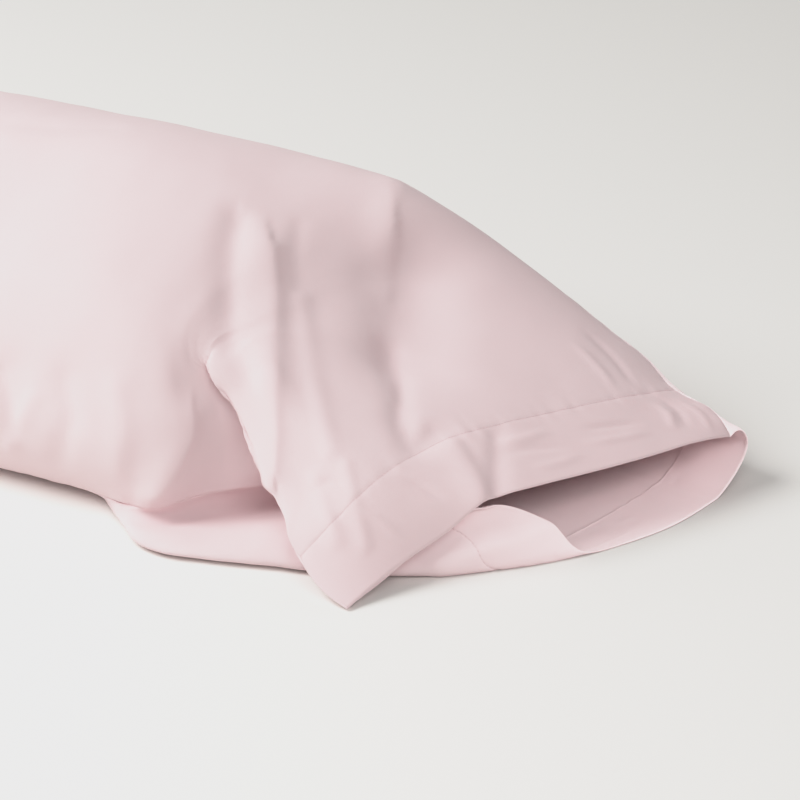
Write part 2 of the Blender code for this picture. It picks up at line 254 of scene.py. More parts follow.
FLOOR_NEAR = (
    (0.130, -0.185, -0.090, 0.000),
    (0.300, -0.012, -0.091, 0.000),
    (0.360, 0.045, -0.095, 0.000),
    (0.450, 0.124, -0.152, 0.000),
    (0.475, 0.143, -0.160, 0.000),
    (0.540, 0.211, -0.147, 0.000),
    (0.620, 0.266, -0.130, 0.000),
    (0.700, 0.322, -0.104, 0.000),
    (0.745, 0.361, -0.074, 0.000),
    (0.800, 0.411, -0.022, 0.000),
)
FLOOR_MIDDLE = (
    (0.130, -0.185, 0.010, 0.000),
    (0.360, 0.045, 0.010, 0.000),
    (0.540, 0.210, 0.010, 0.000),
    (0.620, 0.274, 0.010, 0.000),
    (0.745, 0.388, 0.020, 0.000),
    (0.800, 0.437, 0.032, 0.000),
)
FLOOR_FAR = (
    (0.130, -0.185, 0.110, 0.000),
    (0.360, 0.045, 0.110, 0.000),
    (0.620, 0.278, 0.105, 0.000),
    (0.745, 0.400, 0.092, 0.000),
    (0.800, 0.449, 0.091, 0.001),
)
FAR_BULGE = (
    (0.130, -0.190, 0.172, 0.060),
    (0.360, 0.050, 0.174, 0.060),
    (0.620, 0.280, 0.166, 0.045),
    (0.745, 0.404, 0.144, 0.030),
    (0.800, 0.455, 0.130, 0.030),
)
FAR_EDGE = (
    (0.130, -0.188, 0.167, 0.110),
    (0.360, 0.050, 0.169, 0.110),
    (0.450, 0.138, 0.167, 0.108),
    (0.540, 0.212, 0.164, 0.106),
    (0.620, 0.285, 0.160, 0.092),
    (0.710, 0.366, 0.148, 0.064),
    (0.745, 0.401, 0.132, 0.054),
    (0.800, 0.450, 0.125, 0.043),
)
CLOSED_SEAM = (
    (0.00, -0.318, -0.158, 0.045),
    (0.15, -0.300, -0.115, 0.070),
    (0.50, -0.290, 0.005, 0.095),
    (0.85, -0.300, 0.120, 0.115),
    (1.00, -0.316, 0.162, 0.120),
)

# Each panel runs from the near seam to the far seam: a guide line, and its steps round the closed end's
# seam from the guide line before it.
TOP_GUIDES = (
    (NEAR_SEAM, 0),
    (NEAR_FOOT, 5),
    (NEAR_WAIST, 5),
    (NEAR_FLANK, 3),
    (NEAR_SHOULDER, 3),
    (CROWN, 8),
    (FAR_SHOULDER, 6),
    (FAR_SEAM, 4),
)
BOTTOM_GUIDES = (
    (NEAR_SEAM, 0),
    (UNDER_FLAP, 3),
    (TUCK, 4),
    (LIP_TOP, 4),
    (LIP_FOLD, 5),
    (FLOOR_NEAR, 3),
    (FLOOR_MIDDLE, 4),
    (FLOOR_FAR, 4),
    (FAR_BULGE, 3),
    (FAR_EDGE, 2),
    (FAR_SEAM, 2),
)

# Folds of the top panel: the half widths to the left and right of the line, the height out of the cloth,
# whether the crest is creased sharply on its right, and the points that the fold runs through. Most are
# drawn upwards in the photo.
TOP_FOLDS = (
    (0.020, 0.010, 0.0065, True, (
        (0.205, -0.136, 0.060), (0.197, -0.119, 0.089), (0.177, -0.087, 0.126), (0.155, -0.045, 0.151),
        (0.134, -0.017, 0.176),
    )),
    (0.007, 0.007, -0.0010, False, (
        (0.157, -0.021, 0.150), (0.145, -0.005, 0.169), (0.139, 0.014, 0.183),
    )),
    (0.030, 0.040, -0.013, False, (
        (0.238, -0.012, 0.115), (0.222, 0.024, 0.129), (0.208, 0.043, 0.143),
    )),
    (0.016, 0.014, 0.0035, True, (
        (0.207, 0.034, 0.143), (0.195, 0.051, 0.158), (0.187, 0.071, 0.177), (0.179, 0.097, 0.187),
    )),
    (0.011, 0.010, -0.004, False, (
        (0.292, -0.059, 0.082), (0.285, -0.080, 0.079), (0.267, -0.066, 0.090), (0.250, -0.036, 0.106),
        (0.230, -0.009, 0.121),
    )),
    (0.013, 0.009, -0.0035, False, (
        (0.162, -0.101, 0.118), (0.138, -0.086, 0.133), (0.118, -0.051, 0.165), (0.104, -0.014, 0.191),
    )),
    (0.007, 0.007, 0.0018, False, (
        (0.238, -0.118, 0.081), (0.200, -0.076, 0.112), (0.163, -0.027, 0.145),
    )),
    (0.014, 0.008, 0.0045, True, (
        (0.112, -0.158, 0.024), (0.121, -0.152, 0.038), (0.130, -0.142, 0.059), (0.133, -0.133, 0.073),
        (0.131, -0.127, 0.088),
    )),
    (0.016, 0.016, -0.003, False, (
        (0.000, -0.158, 0.062), (-0.008, -0.160, 0.103),
    )),
    (0.005, 0.004, 0.0016, False, (
        (0.285, -0.152, 0.033), (0.268, -0.138, 0.058), (0.252, -0.121, 0.075),
    )),
    (0.006, 0.005, 0.0012, False, (
        (0.265, -0.159, 0.035), (0.234, -0.132, 0.065),
    )),
    (0.012, 0.006, 0.0025, False, (
        (0.339, -0.078, 0.053), (0.324, -0.068, 0.065), (0.306, -0.059, 0.076),
    )),
    (0.006, 0.009, -0.0025, False, (
        (0.347, -0.073, 0.051), (0.325, -0.030, 0.076),
    )),
    (0.006, 0.007, -0.0022, False, (
        (-0.004, -0.158, 0.060), (-0.010, -0.156, 0.082), (-0.018, -0.151, 0.099),
    )),
    (0.006, 0.007, 0.0018, False, (
        (-0.010, -0.155, 0.040), (0.003, -0.158, 0.069), (0.011, -0.156, 0.086),
    )),
    (0.009, 0.009, -0.0018, False, (
        (0.033, -0.155, 0.041), (0.046, -0.157, 0.079), (0.035, -0.149, 0.103),
    )),
    (0.010, 0.009, 0.0016, False, (
        (0.085, -0.158, 0.049), (0.088, -0.154, 0.080), (0.077, -0.145, 0.106),
    )),
    (0.010, 0.010, -0.0015, False, (
        (-0.108, 0.002, 0.223), (-0.063, 0.011, 0.223), (-0.030, 0.028, 0.224),
    )),
)

# Folds of the bottom panel: the turned-up lip's ridge.
BOTTOM_FOLDS = (
    (0.012, 0.007, 0.0035, True, (
        (0.325, -0.114, 0.008), (0.344, -0.093, 0.014), (0.358, -0.078, 0.015), (0.368, -0.063, 0.017),
        (0.378, -0.045, 0.020),
    )),
)

# Finer creases: half width, height out of the cloth, and the places (along, across) on each.
TOP_CREASES = (
    (0.0030, 0.0012, ((0.757, 0.196), (0.760, 0.222), (0.759, 0.255))),
    (0.0035, -0.0010, ((0.766, 0.190), (0.769, 0.225), (0.777, 0.258))),
    (0.0030, -0.0012, ((0.764, 0.272), (0.767, 0.300), (0.770, 0.334))),
    (0.0030, 0.0010, ((0.776, 0.262), (0.779, 0.300), (0.780, 0.332))),
    (0.0030, 0.0014, ((0.752, 0.362), (0.766, 0.362), (0.784, 0.350))),
    (0.0030, -0.0012, ((0.748, 0.374), (0.766, 0.373), (0.786, 0.362))),
    (0.0025, 0.0012, ((0.752, 0.386), (0.776, 0.386), (0.797, 0.382))),
    (0.0040, 0.0011, ((0.700, 0.330), (0.722, 0.336), (0.742, 0.340))),
    (0.0045, -0.0012, ((0.690, 0.352), (0.715, 0.358), (0.744, 0.360))),
    (0.0035, 0.0010, ((0.784, 0.205), (0.786, 0.232), (0.784, 0.262))),
    (0.0030, -0.0009, ((0.752, 0.105), (0.765, 0.118), (0.785, 0.126))),
    (0.0030, 0.0009, ((0.750, 0.060), (0.766, 0.072), (0.790, 0.078))),
    (0.0040, -0.0009, ((0.708, 0.040), (0.724, 0.060), (0.742, 0.068))),
)
BOTTOM_CREASES = (
    (0.0040, 0.0009, ((0.770, 0.180), (0.772, 0.230), (0.768, 0.280))),
    (0.0040, -0.0009, ((0.782, 0.170), (0.784, 0.215), (0.781, 0.262))),
    (0.0040, 0.0009, ((0.756, 0.240), (0.759, 0.290), (0.757, 0.330))),
)

# The two panels, the side that each faces, and the seed of its unevenness.
TOP, BOTTOM = 0, 1
SIDES = (1, -1)
SEEDS = (3.0, 11.0)

# The even grid that the cloth is shaped on, and the samples that even out a section's length.
ROW_STEP = 0.002
COLUMNS = 144
EVEN_ROWS = np.arange(round(CASE_LENGTH / ROW_STEP) + 1) * ROW_STEP
EVEN_COLUMNS = np.linspace(0, PANEL_WIDTH, COLUMNS + 1)
SECTION_SAMPLES = 8 * COLUMNS

# The final grid: wide rows on the plain back end, and close rows and columns at the seams.
PLAIN_STEP = 0.004
BUSY_FROM = 0.36
CLOSED_SEAM_ROWS = (0.0, 0.0006, 0.0014, 0.0024)
SIDE_SEAM_COLUMNS = np.array((0.0006, 0.0014))

# Above the pocket the rows crowd together: from this height, which fades in over a depth, and from fully
# crowded to evenly spread, as shares of the rows' distance in flat cloth.
APEX_HEIGHT = 0.120
APEX_FADE = 0.012
CROWDED_ROWS, SPREAD_ROWS = 0.45, 0.95

# How far from the seams folds, unevenness and puckers reach their full height.
FOLD_START = 0.012
UNEVEN_START = 0.03
PUCKER_START = 0.002

# The share of a crease's length over which it rises at each end.
CREASE_RISE = 0.35

# Slow waves of loose cloth: length along, length across, share of the height, and shift of the seed.
UNEVEN_WAVES = ((0.055, 0.075, 1.0, 0.0), (0.021, 0.026, 0.25, 7.0))

# Puckers: their place in the noise, what brings them to about -1 to 1, and each line's shift of the seed.
RIPPLE_DEPTH = 0.5
RIPPLE_GAIN = 1.8
NEAR_SHIFT, FAR_SHIFT, CLOSED_SHIFT, HEM_SHIFT = 0.0, 20.0, 40.0, 60.0

# A side seam is drawn in where the panels lie flat beside it, and not where it is folded sharply: the
# cosines of the lean between a panel's normal and the seam's. The least one keeps shared normals short.
FOLDED_SEAM, FLAT_SEAM = 0.45, 0.85
LEAST_LEAN = 0.5
CLOSED_SEAM_NORMAL = (-1.0, 0.0, 0.0)

# The hem's line: half the width of the step up to its turning, and the reach of its groove.
HEM_STEP = 0.0008
HEM_GROOVE_REACH = 0.0012

# The mouth's edge rounds over by this many thicknesses, and edges sharper than this angle stay sharp.
MOUTH_ROUNDING = 0.8
SHARP_EDGE = math.radians(70)

# A stitch takes its direction from this far behind and ahead of its middle.
STITCH_AIM = 0.001

SewnPanel = namedtuple("SewnPanel", "cloth points normals seed")


def smoothstep(value, low, high):
    share = np.clip((value - low) / (high - low), 0, 1)
    return share * share * (3 - 2 * share)


def smooth_through(knots, points, at):
    """Points on a smooth curve through the given points, whose places along it are the knots."""
    knots = np.asarray(knots, float)
    points = np.asarray(points, float)
    spans = np.diff(knots)
    slopes = np.diff(points, axis=0) / spans[:, None]
    tangents = np.empty_like(points)
    before, after = spans[:-1, None], spans[1:, None]
    tangents[1:-1] = (slopes[:-1] * after + slopes[1:] * before) / (before + after)
    tangents[0] = 2 * slopes[0] - tangents[1]
    tangents[-1] = 2 * slopes[-1] - tangents[-2]
    at = np.clip(at, knots[0], knots[-1])
    span = np.clip(np.searchsorted(knots, at, side="right") - 1, 0, len(spans) - 1)
    width = spans[span][:, None]
    u = ((at - knots[span]) / spans[span])[:, None]
    return (
        (2 * u**3 - 3 * u**2 + 1) * points[span]
        + (u**3 - 2 * u**2 + u) * width * tangents[span]
        + (3 * u**2 - 2 * u**3) * points[span + 1]
        + (u**3 - u**2) * width * tangents[span + 1]
    )


def section(points, steps):
    """A section across the case, evenly spaced along its length, and its shares of the closed seam."""
    chords = np.sqrt(np.linalg.norm(np.diff(points, axis=0), axis=1))
    knots = np.concatenate(([0.0], np.cumsum(chords)))
    fine = np.linspace(0, knots[-1], SECTION_SAMPLES)
    pieces = np.linalg.norm(np.diff(smooth_through(knots, points, fine), axis=0), axis=1)
    length = np.concatenate(([0.0], np.cumsum(pieces)))
    at = np.interp(np.linspace(0, length[-1], COLUMNS + 1), length, fine)
    places = np.cumsum(steps) / np.sum(steps)
    return smooth_through(knots, points, at), np.interp(at, knots, places)


def lofted(guides):
    """A panel's middle surface. Short of CAP_LENGTH it closes round to the closed end's seam."""
    steps = [step for _, step in guides]
    lines = []
    for guide, _ in guides:
        rows = np.array(guide)
        lines.append(smooth_through(rows[:, 0], rows[:, 1:], np.maximum(EVEN_ROWS, CAP_LENGTH)))
    lines = np.array(lines)
    full, shares = section(lines[:, 0], steps)
    seam = np.array(CLOSED_SEAM)
    closed = smooth_through(seam[:, 0], seam[:, 1:], shares)
    grid = np.empty((len(EVEN_ROWS), COLUMNS + 1, 3))
    for row, distance in enumerate(EVEN_ROWS):
        if distance >= CAP_LENGTH:
            grid[row] = section(lines[:, row], steps)[0]
            continue
        turn = distance / CAP_LENGTH * math.pi / 2
        grid[row] = closed + (full - closed) * math.sin(turn)
        grid[row, :, 0] = closed[:, 0] + (full[:, 0] - closed[:, 0]) * (1 - math.cos(turn))
    return grid


def row_spacing(grid):
    """How far apart the rows lie at each point, as a share of their distance in flat cloth."""
    return np.linalg.norm(np.gradient(grid, axis=0), axis=-1) / ROW_STEP


def crowded(grid):
    """How far the cloth's rows crowd together above the height of the pocket's apex, from 0 to 1."""
    close = 1 - smoothstep(row_spacing(grid), CROWDED_ROWS, SPREAD_ROWS)
    high = smoothstep(grid[..., 2], APEX_HEIGHT, APEX_HEIGHT + APEX_FADE)
    return (close * high)[1:-1, 1:-1, None]


def relaxed(grid, rounds, share=1.0, edges=True):
    """The grid with its guide lines' bands smoothed out. Its edges only move along themselves, or stay."""
    for _ in range(rounds):
        even = grid.copy()
        around = grid[:-2, 1:-1] + grid[2:, 1:-1] + grid[1:-1, :-2] + grid[1:-1, 2:]
        even[1:-1, 1:-1] += (around / 4 - grid[1:-1, 1:-1]) / 2 * share
        if edges:
            for side in (0, -1):
                even[1:-1, side] = (grid[1:-1, side] + (grid[:-2, side] + grid[2:, side]) / 2) / 2
            even[-1, 1:-1] = (grid[-1, 1:-1] + (grid[-1, :-2] + grid[-1, 2:]) / 2) / 2
        grid = even
    return grid


def unit(vectors):
    return vectors / np.maximum(np.linalg.norm(vectors, axis=-1, keepdims=True), 1e-9)


def normals_of(grid, side):
    """Outward normals of a grid of points: side is 1 for the top panel and -1 for the bottom one."""
    return unit(np.cross(np.gradient(grid, axis=0), np.gradient(grid, axis=1))) * side


def folded(grid, side, folds):
    """Push each fold's ridge or trough in or out along the panel's normals, dying away beside it."""
    normals = normals_of(grid, side)
    push = np.zeros(grid.shape[:2])
    for left, right, height, creased_right, points in folds:
        nearest = np.full(grid.shape[:2], np.inf)
        for start, end in zip(np.array(points[:-1]), np.array(points[1:])):
            line = end - start
            place = np.clip((grid - start) @ line / (line @ line), 0, 1)
            offset = grid - (start + place[..., None] * line)
            offset -= (offset * normals).sum(-1, keepdims=True) * normals
            on_left = (np.cross(line, offset) * normals).sum(-1) > 0
            away = np.sqrt((offset**2).sum(-1)) / np.where(on_left, left, right)
            power = np.where(on_left, 2.0, 1.0 if creased_right else 2.0)
            nearest = np.minimum(nearest, away**power)
        push += height * np.exp(-nearest)
    push *= smoothstep(np.minimum(EVEN_COLUMNS, PANEL_WIDTH - EVEN_COLUMNS), 0.0, FOLD_START)
    return grid + normals * push[..., None]


def creased(cloth, creases):
    """The height of the finer creases at each place on the cloth. A crease rises at both of its ends."""
    push = np.zeros(cloth.shape[:2])
    for half_width, height, points in creases:
        points = np.array(points)
        lengths = np.linalg.norm(np.diff(points, axis=0), axis=1)
        starts = np.concatenate(([0.0], np.cumsum(lengths)))
        nearest = np.full(push.shape, np.inf)
        reached = np.zeros(push.shape)
        for start, end, length, before in zip(points[:-1], points[1:], lengths, starts):
            line = (end - start) / length
            place = np.clip((cloth - start) @ line, 0, length)
            away = np.linalg.norm(cloth - start - place[..., None] * line, axis=-1)
            closer = away < nearest
            nearest = np.where(closer, away, nearest)
            reached = np.where(closer, (before + place) / starts[-1], reached)
        rise = smoothstep(reached, 0, CREASE_RISE) * smoothstep(1 - reached, 0, CREASE_RISE)
        push += height * rise * np.exp(-((nearest / half_width) ** 2))
    return push


def ripple(places, pitch, seed):
    """Uneven waves along a seam or hem, from about -1 to 1."""
    return np.array([noise.noise((place / pitch, seed, RIPPLE_DEPTH)) for place in places]) * RIPPLE_GAIN


def rolling(cloth, seed):
    """The slow unevenness of cloth that nothing stretches, from about -1 to 1."""
    height = np.zeros(cloth.shape[:2])
    for long, wide, share, shift in UNEVEN_WAVES:
        wave = [noise.noise((a / long, b / wide, seed + shift)) for a, b in cloth.reshape(-1, 2)]
        height += share * np.array(wave).reshape(height.shape)
    return height


def fine_rows():
    """Where the cloth has its final rows: closest at the closed seam and at the hem's line."""
    plain = np.arange(PLAIN_STEP, BUSY_FROM, PLAIN_STEP)
    busy = np.arange(BUSY_FROM, CASE_LENGTH + ROW_STEP / 2, ROW_STEP)
    hem = HEM_LINE + np.array((-HEM_STEP, 0.0, HEM_STEP))
    return np.unique(np.round(np.concatenate((CLOSED_SEAM_ROWS, plain, busy, hem)), 5))


def fine_columns():
    """Where the cloth has its final columns: closest at both side seams."""
    return np.sort(np.concatenate((EVEN_COLUMNS, SIDE_SEAM_COLUMNS, PANEL_WIDTH - SIDE_SEAM_COLUMNS)))


def resampled(grid, rows, columns):
    """The grid's points at the given rows and columns of the cloth."""
    for at, even, axis in ((rows, EVEN_ROWS, 0), (columns, EVEN_COLUMNS, 1)):
        at = np.interp(at, even, np.arange(len(even)))
        low = np.minimum(at.astype(int), len(even) - 2)
        share = np.expand_dims(at - low, (1 - axis, 2))
        grid = grid.take(low, axis) * (1 - share) + grid.take(low + 1, axis) * share
    return grid


def cloth_places(rows, columns):
    return np.stack(np.meshgrid(rows, columns, indexing="ij"), axis=-1)


def shaped_panels(settings):
    """The cloth places of the final grid, and both panels' middle surfaces on it."""
    rows, columns = fine_rows(), fine_columns()
    even = cloth_places(EVEN_ROWS, EVEN_COLUMNS)
    from_side = np.minimum(even[..., 1], PANEL_WIDTH - even[..., 1])
    eased = smoothstep(np.minimum(from_side, even[..., 0]), 0.0, UNEVEN_START)
    panels = []
    for which, guides, folds, creases in (
        (TOP, TOP_GUIDES, TOP_FOLDS, TOP_CREASES),
        (BOTTOM, BOTTOM_GUIDES, BOTTOM_FOLDS, BOTTOM_CREASES),
    ):
        grid = relaxed(lofted(guides), settings.smoothing)
        if which == TOP:
            grid = relaxed(grid, settings.apex_smoothing, crowded(grid), edges=False)
        grid = relaxed(folded(grid, SIDES[which], folds), settings.fold_smoothing)
        free = eased * np.clip(row_spacing(grid), 0, 1) ** 2
        push = creased(even, creases) + settings.unevenness * rolling(even, SEEDS[which]) * free
        grid = grid + normals_of(grid, SIDES[which]) * push[..., None]
        grid[..., :2] -= CENTRE
        grid[..., 2] = np.maximum(grid[..., 2], 0) + settings.thickness / 2
        panels.append(resampled(grid, rows, columns))
    return cloth_places(rows, columns), panels


def sewn_normals(panels):
    """Both panels' outward normals, turned at the seams so that they share them.

    The third value says for both side seams how flat the panels lie there, from 0 to 1.
    """
    top, bottom = (normals_of(panel, side) for panel, side in zip(panels, SIDES))
    flatness = []
    for edge in (0, -1):
        shared = unit(top[:, edge] + bottom[:, edge])
        lean = (shared * top[:, edge]).sum(-1, keepdims=True)
        top[:, edge] = bottom[:, edge] = shared / np.maximum(lean, LEAST_LEAN)
        flatness.append(smoothstep(lean, FOLDED_SEAM, FLAT_SEAM))
    top[0] = bottom[0] = CLOSED_SEAM_NORMAL
    return top, bottom, flatness


def seam_push(cloth, flatness, settings, seed):
    """The seams' grooves and puckers, and the hem line's, as a height out of the cloth."""
    along, across = cloth[..., 0], cloth[..., 1]
    near_wave, far_wave = (
        ripple(along[:, 0], settings.pucker_pitch, seed + shift)[:, None] for shift in (NEAR_SHIFT, FAR_SHIFT)
    )
    closed_wave, hem_wave = (
        ripple(across[0], settings.pucker_pitch, seed + shift) for shift in (CLOSED_SHIFT, HEM_SHIFT)
    )
    push = np.zeros(along.shape)
    for away, flat, wave in (
        (across, flatness[0], near_wave),
        (PANEL_WIDTH - across, flatness[1], far_wave),
        (along, 1.0, closed_wave),
    ):
        groove = np.clip(1 - away / settings.seam_groove_width, 0, 1) ** 2
        near = np.exp(-away / settings.pucker_reach) * smoothstep(away, 0, PUCKER_START)
        push += flat * (settings.pucker_height * wave * near - settings.seam_groove * groove)
    hem_away = np.abs(along - HEM_LINE)
    push += settings.pucker_height * hem_wave * np.exp(-hem_away / settings.pucker_reach)
    push -= settings.hem_groove * np.exp(-((hem_away / HEM_GROOVE_REACH) ** 2))
    return push


def sewn_panel(settings, which):
    """A panel's cloth places, its middle points and normals with its seams drawn in, and its seed."""
    cloth, panels = shaped_panels(settings)
    *normals, flatness = sewn_normals(panels)
    normals, seed = normals[which], SEEDS[which]
    points = panels[which] + normals * seam_push(cloth, flatness, settings, seed)[..., None]
    points[..., 2] = np.maximum(points[..., 2], settings.thickness / 2)
    return SewnPanel(cloth, points, normals, seed)


def linked(name, data):
    """A new object in the scene."""
    thing = bpy.data.objects.new(name, data)
    bpy.context.scene.collection.objects.link(thing)
    return thing


def faces_between(here, there):
    """Four-sided faces between two lines of vertices."""
    return np.stack((here[:-1], here[1:], there[1:], there[:-1]), axis=-1)


def cloth_mesh(name, panel, settings, material):
    """A panel as an outer and an inner skin of faces, joined at its edges and rounded at the mouth."""
    cloth, points, normals, _ = panel
    hem = smoothstep(cloth[..., 0:1], HEM_LINE - HEM_STEP, HEM_LINE + HEM_STEP)
    outer = points + normals * settings.thickness / 2
    inner = points - normals * (settings.thickness / 2 + settings.hem_thickness * hem)
    outwards = unit(points[-1] - points[-2])
    rounding = (outer[-1] + inner[-1]) / 2 + outwards * settings.thickness * MOUTH_ROUNDING
    rows, columns = points.shape[:2]
    count = rows * columns
    vertices = np.concatenate((outer.reshape(-1, 3), inner.reshape(-1, 3), rounding))
    places = np.concatenate((cloth.reshape(-1, 2), cloth.reshape(-1, 2), cloth[-1]))
    index = np.arange(count).reshape(rows, columns)
    skin = np.stack((index[:-1, :-1], index[:-1, 1:], index[1:, 1:], index[1:, :-1]), axis=-1)
    quads = [skin.reshape(-1, 4), skin.reshape(-1, 4)[:, ::-1] + count]
    mouth = 2 * count + np.arange(columns)
    for here, there in (
        (index[0] + count, index[0]),
        (index[:, -1] + count, index[:, -1]),
        (index[::-1, 0] + count, index[::-1, 0]),
        (index[-1], mouth),
        (mouth, index[-1] + count),
    ):
        quads.append(faces_between(here, there))
    data = bpy.data.meshes.new(name)
    data.from_pydata(vertices, [], np.concatenate(quads))
    uv = data.uv_layers.new(name="Cloth")
    corner = np.empty(len(data.loops), np.int32)
    data.loops.foreach_get("vertex_index", corner)
    uv.data.foreach_set("uv", places[corner][:, ::-1].astype(np.float32).ravel())
    mesh = bmesh.new()
    mesh.from_mesh(data)
    bmesh.ops.recalc_face_normals(mesh, faces=mesh.faces)
    if mesh.calc_volume(signed=True) < 0:
        bmesh.ops.reverse_faces(mesh, faces=mesh.faces)
    mesh.to_mesh(data)
    mesh.free()
    data.materials.append(material)
    data.shade_smooth()
    data.set_sharp_from_angle(angle=SHARP_EDGE)
    return linked(name, data)


def stitch_shape():
    """One stitch's points and faces: a short round bead of thread, lying along X."""
    bpy.ops.object.select_all(action="DESELECT")
    bpy.ops.mesh.primitive_ico_sphere_add(subdivisions=1, radius=1.0)
    bead = bpy.context.active_object
    points = np.array([tuple(vertex.co) for vertex in bead.data.vertices])
    faces = np.array([tuple(face.vertices) for face in bead.data.polygons])
    bpy.data.objects.remove(bead)
    return points, faces


def stitches_mesh(name, panel, settings, material):
    """A row of stitches along a panel's hem line, each a copy of one bead. They are flatter than wide."""
    cloth, points, normals, _ = panel
    row = np.argmin(np.abs(cloth[:, 0, 0] - HEM_LINE))
    line = points[row] + normals[row] * (settings.thickness / 2 + settings.stitch_height)
    across = cloth[row, :, 1]
    ends = (settings.stitch_pitch, PANEL_WIDTH - settings.stitch_pitch)
    places = np.arange(*ends, settings.stitch_pitch)
    bead, faces = stitch_shape()
    bead = bead * (settings.stitch_length / 2, settings.thread / 2, settings.thread / 3)
    vertices = []
    for place in places:
        centre, behind, ahead, up = (
            np.array([np.interp(at, across, values[:, axis]) for axis in range(3)])
            for at, values in (
                (place, line), (place - STITCH_AIM, line), (place + STITCH_AIM, line), (place, normals[row]),
            )
        )
        forward = unit(ahead - behind)
        side = unit(np.cross(up, forward))
        vertices.append(centre + bead @ np.array((forward, side, np.cross(forward, side))))
    shift = np.arange(len(places))[:, None, None] * len(bead)
    data = bpy.data.meshes.new(name)
    data.from_pydata(np.concatenate(vertices), [], (faces + shift).reshape(-1, 3))
    data.shade_smooth()
    data.materials.append(material)
    return linked(name, data)


# The weave's finish. Slubs are a yarn's thick and thin stretches, long along it: how many lie in a metre.
SLUBS_ALONG, SLUBS_ACROSS = 45.0, 1700.0
WEFT_SEED = 5.0
YARN_SHARPNESS = 4.0
WEAVE_DEPTH = 0.25
HEM_BLEND = 0.0006
DYE_DETAIL = 3.0
COTTON_SPREAD = 0.045
SLUB_ROUGHNESS = 0.06
COTTON_FINISH = {
    "Metallic": 0.0,
    "Specular IOR Level": 0.25,
    "Subsurface Radius": (1.0, 0.8, 0.8),
    "Subsurface Scale": 0.002,
    "Sheen Roughness": 0.6,
    "Sheen Tint": (1.0, 0.94, 0.94, 1.0),
}

# The thread's twists in a metre, how its colour strays, and its least roughness with what the twists add.
THREAD_TWISTS = 1800.0
THREAD_SPREAD = 0.06
THREAD_ROUGHNESS, TWIST_ROUGHNESS = 0.65, 0.1

# The floor's clouds in a metre, how its colour strays, and its roughness.
FLOOR_CLOUDS = 0.8
FLOOR_SPREAD = 0.005
FLOOR_ROUGHNESS = 0.9


class Term:
    """A shader socket that does its arithmetic with Math nodes."""

    def __init__(self, graph, socket):
        self.graph = graph
        self.socket = socket

    def math(self, operation, *others):
        values = dict(enumerate((self, *others)))
        return self.graph.node("ShaderNodeMath", {"operation": operation}, values)

    def __add__(self, other):
        return self.math("ADD", other)

    def __sub__(self, other):
        return self.math("SUBTRACT", other)

    def __rsub__(self, other):
        return self.graph.node("ShaderNodeMath", {"operation": "SUBTRACT"}, {0: other, 1: self})

    def __mul__(self, other):
        return self.math("MULTIPLY", other)

    __radd__ = __add__
    __rmul__ = __mul__

    def sine(self):
        return self.math("SINE")

    def size(self):
        return self.math("ABSOLUTE")

    def between(self, low, high):
        """0 below low, 1 above high, and a smooth rise between them."""
        values = {"Value": self, "From Min": low, "From Max": high}
        return self.graph.node("ShaderNodeMapRange", {"interpolation_type": "SMOOTHSTEP"}, values)

    def beside(self, output):
        """Another output of the node that this socket is on."""
        return Term(self.graph, self.socket.node.outputs[output])


class Graph:
    """A material's nodes, built around its Principled shader."""

    def __init__(self, name):
        self.material = bpy.data.materials.new(name)
        self.material.use_nodes = True
        self.tree = self.material.node_tree
        self.shader = self.tree.nodes["Principled BSDF"]

    def node(self, kind, settings, values, output=0):
        """Add a node: its settings first, then its sockets' numbers or links. Gives one of its outputs."""
        node = self.tree.nodes.new(kind)
        for setting, value in settings.items():
            setattr(node, setting, value)
        for socket, value in values.items():
            if isinstance(value, Term):
                self.tree.links.new(value.socket, node.inputs[socket])
            else:
                node.inputs[socket].default_value = value
        return Term(self, node.outputs[output])

    def feed(self, socket, term):
        self.tree.links.new(term.socket, self.shader.inputs[socket])

    def finish(self, values):
        """Set what is the same all over on the shader's own sockets."""
        for socket, value in values.items():
            self.shader.inputs[socket].default_value = value

    def place(self, x, y, z):
        return self.node("ShaderNodeCombineXYZ", {}, {"X": x, "Y": y, "Z": z})

    def object_place(self):
        return self.node("ShaderNodeTexCoord", {}, {}, "Object")

    def cloudy(self, vector, scale, detail=2.0):
        """Noise from 0 to 1."""
        values = {"Vector": vector, "Scale": scale, "Detail": detail}
        return self.node("ShaderNodeTexNoise", {}, values)

    def dye(self, colour, spread, shade):
        """A base colour that strays by a share to both sides, from dark where the shade is 0 to pale."""
        dark, pale = (
            (*(min(part * share, 1.0) for part in colour), 1.0) for share in (1 - spread, 1 + spread)
        )
        values = {0: shade, 6: dark, 7: pale}
        self.feed("Base Color", self.node("ShaderNodeMix", {"data_type": "RGBA"}, values, 2))


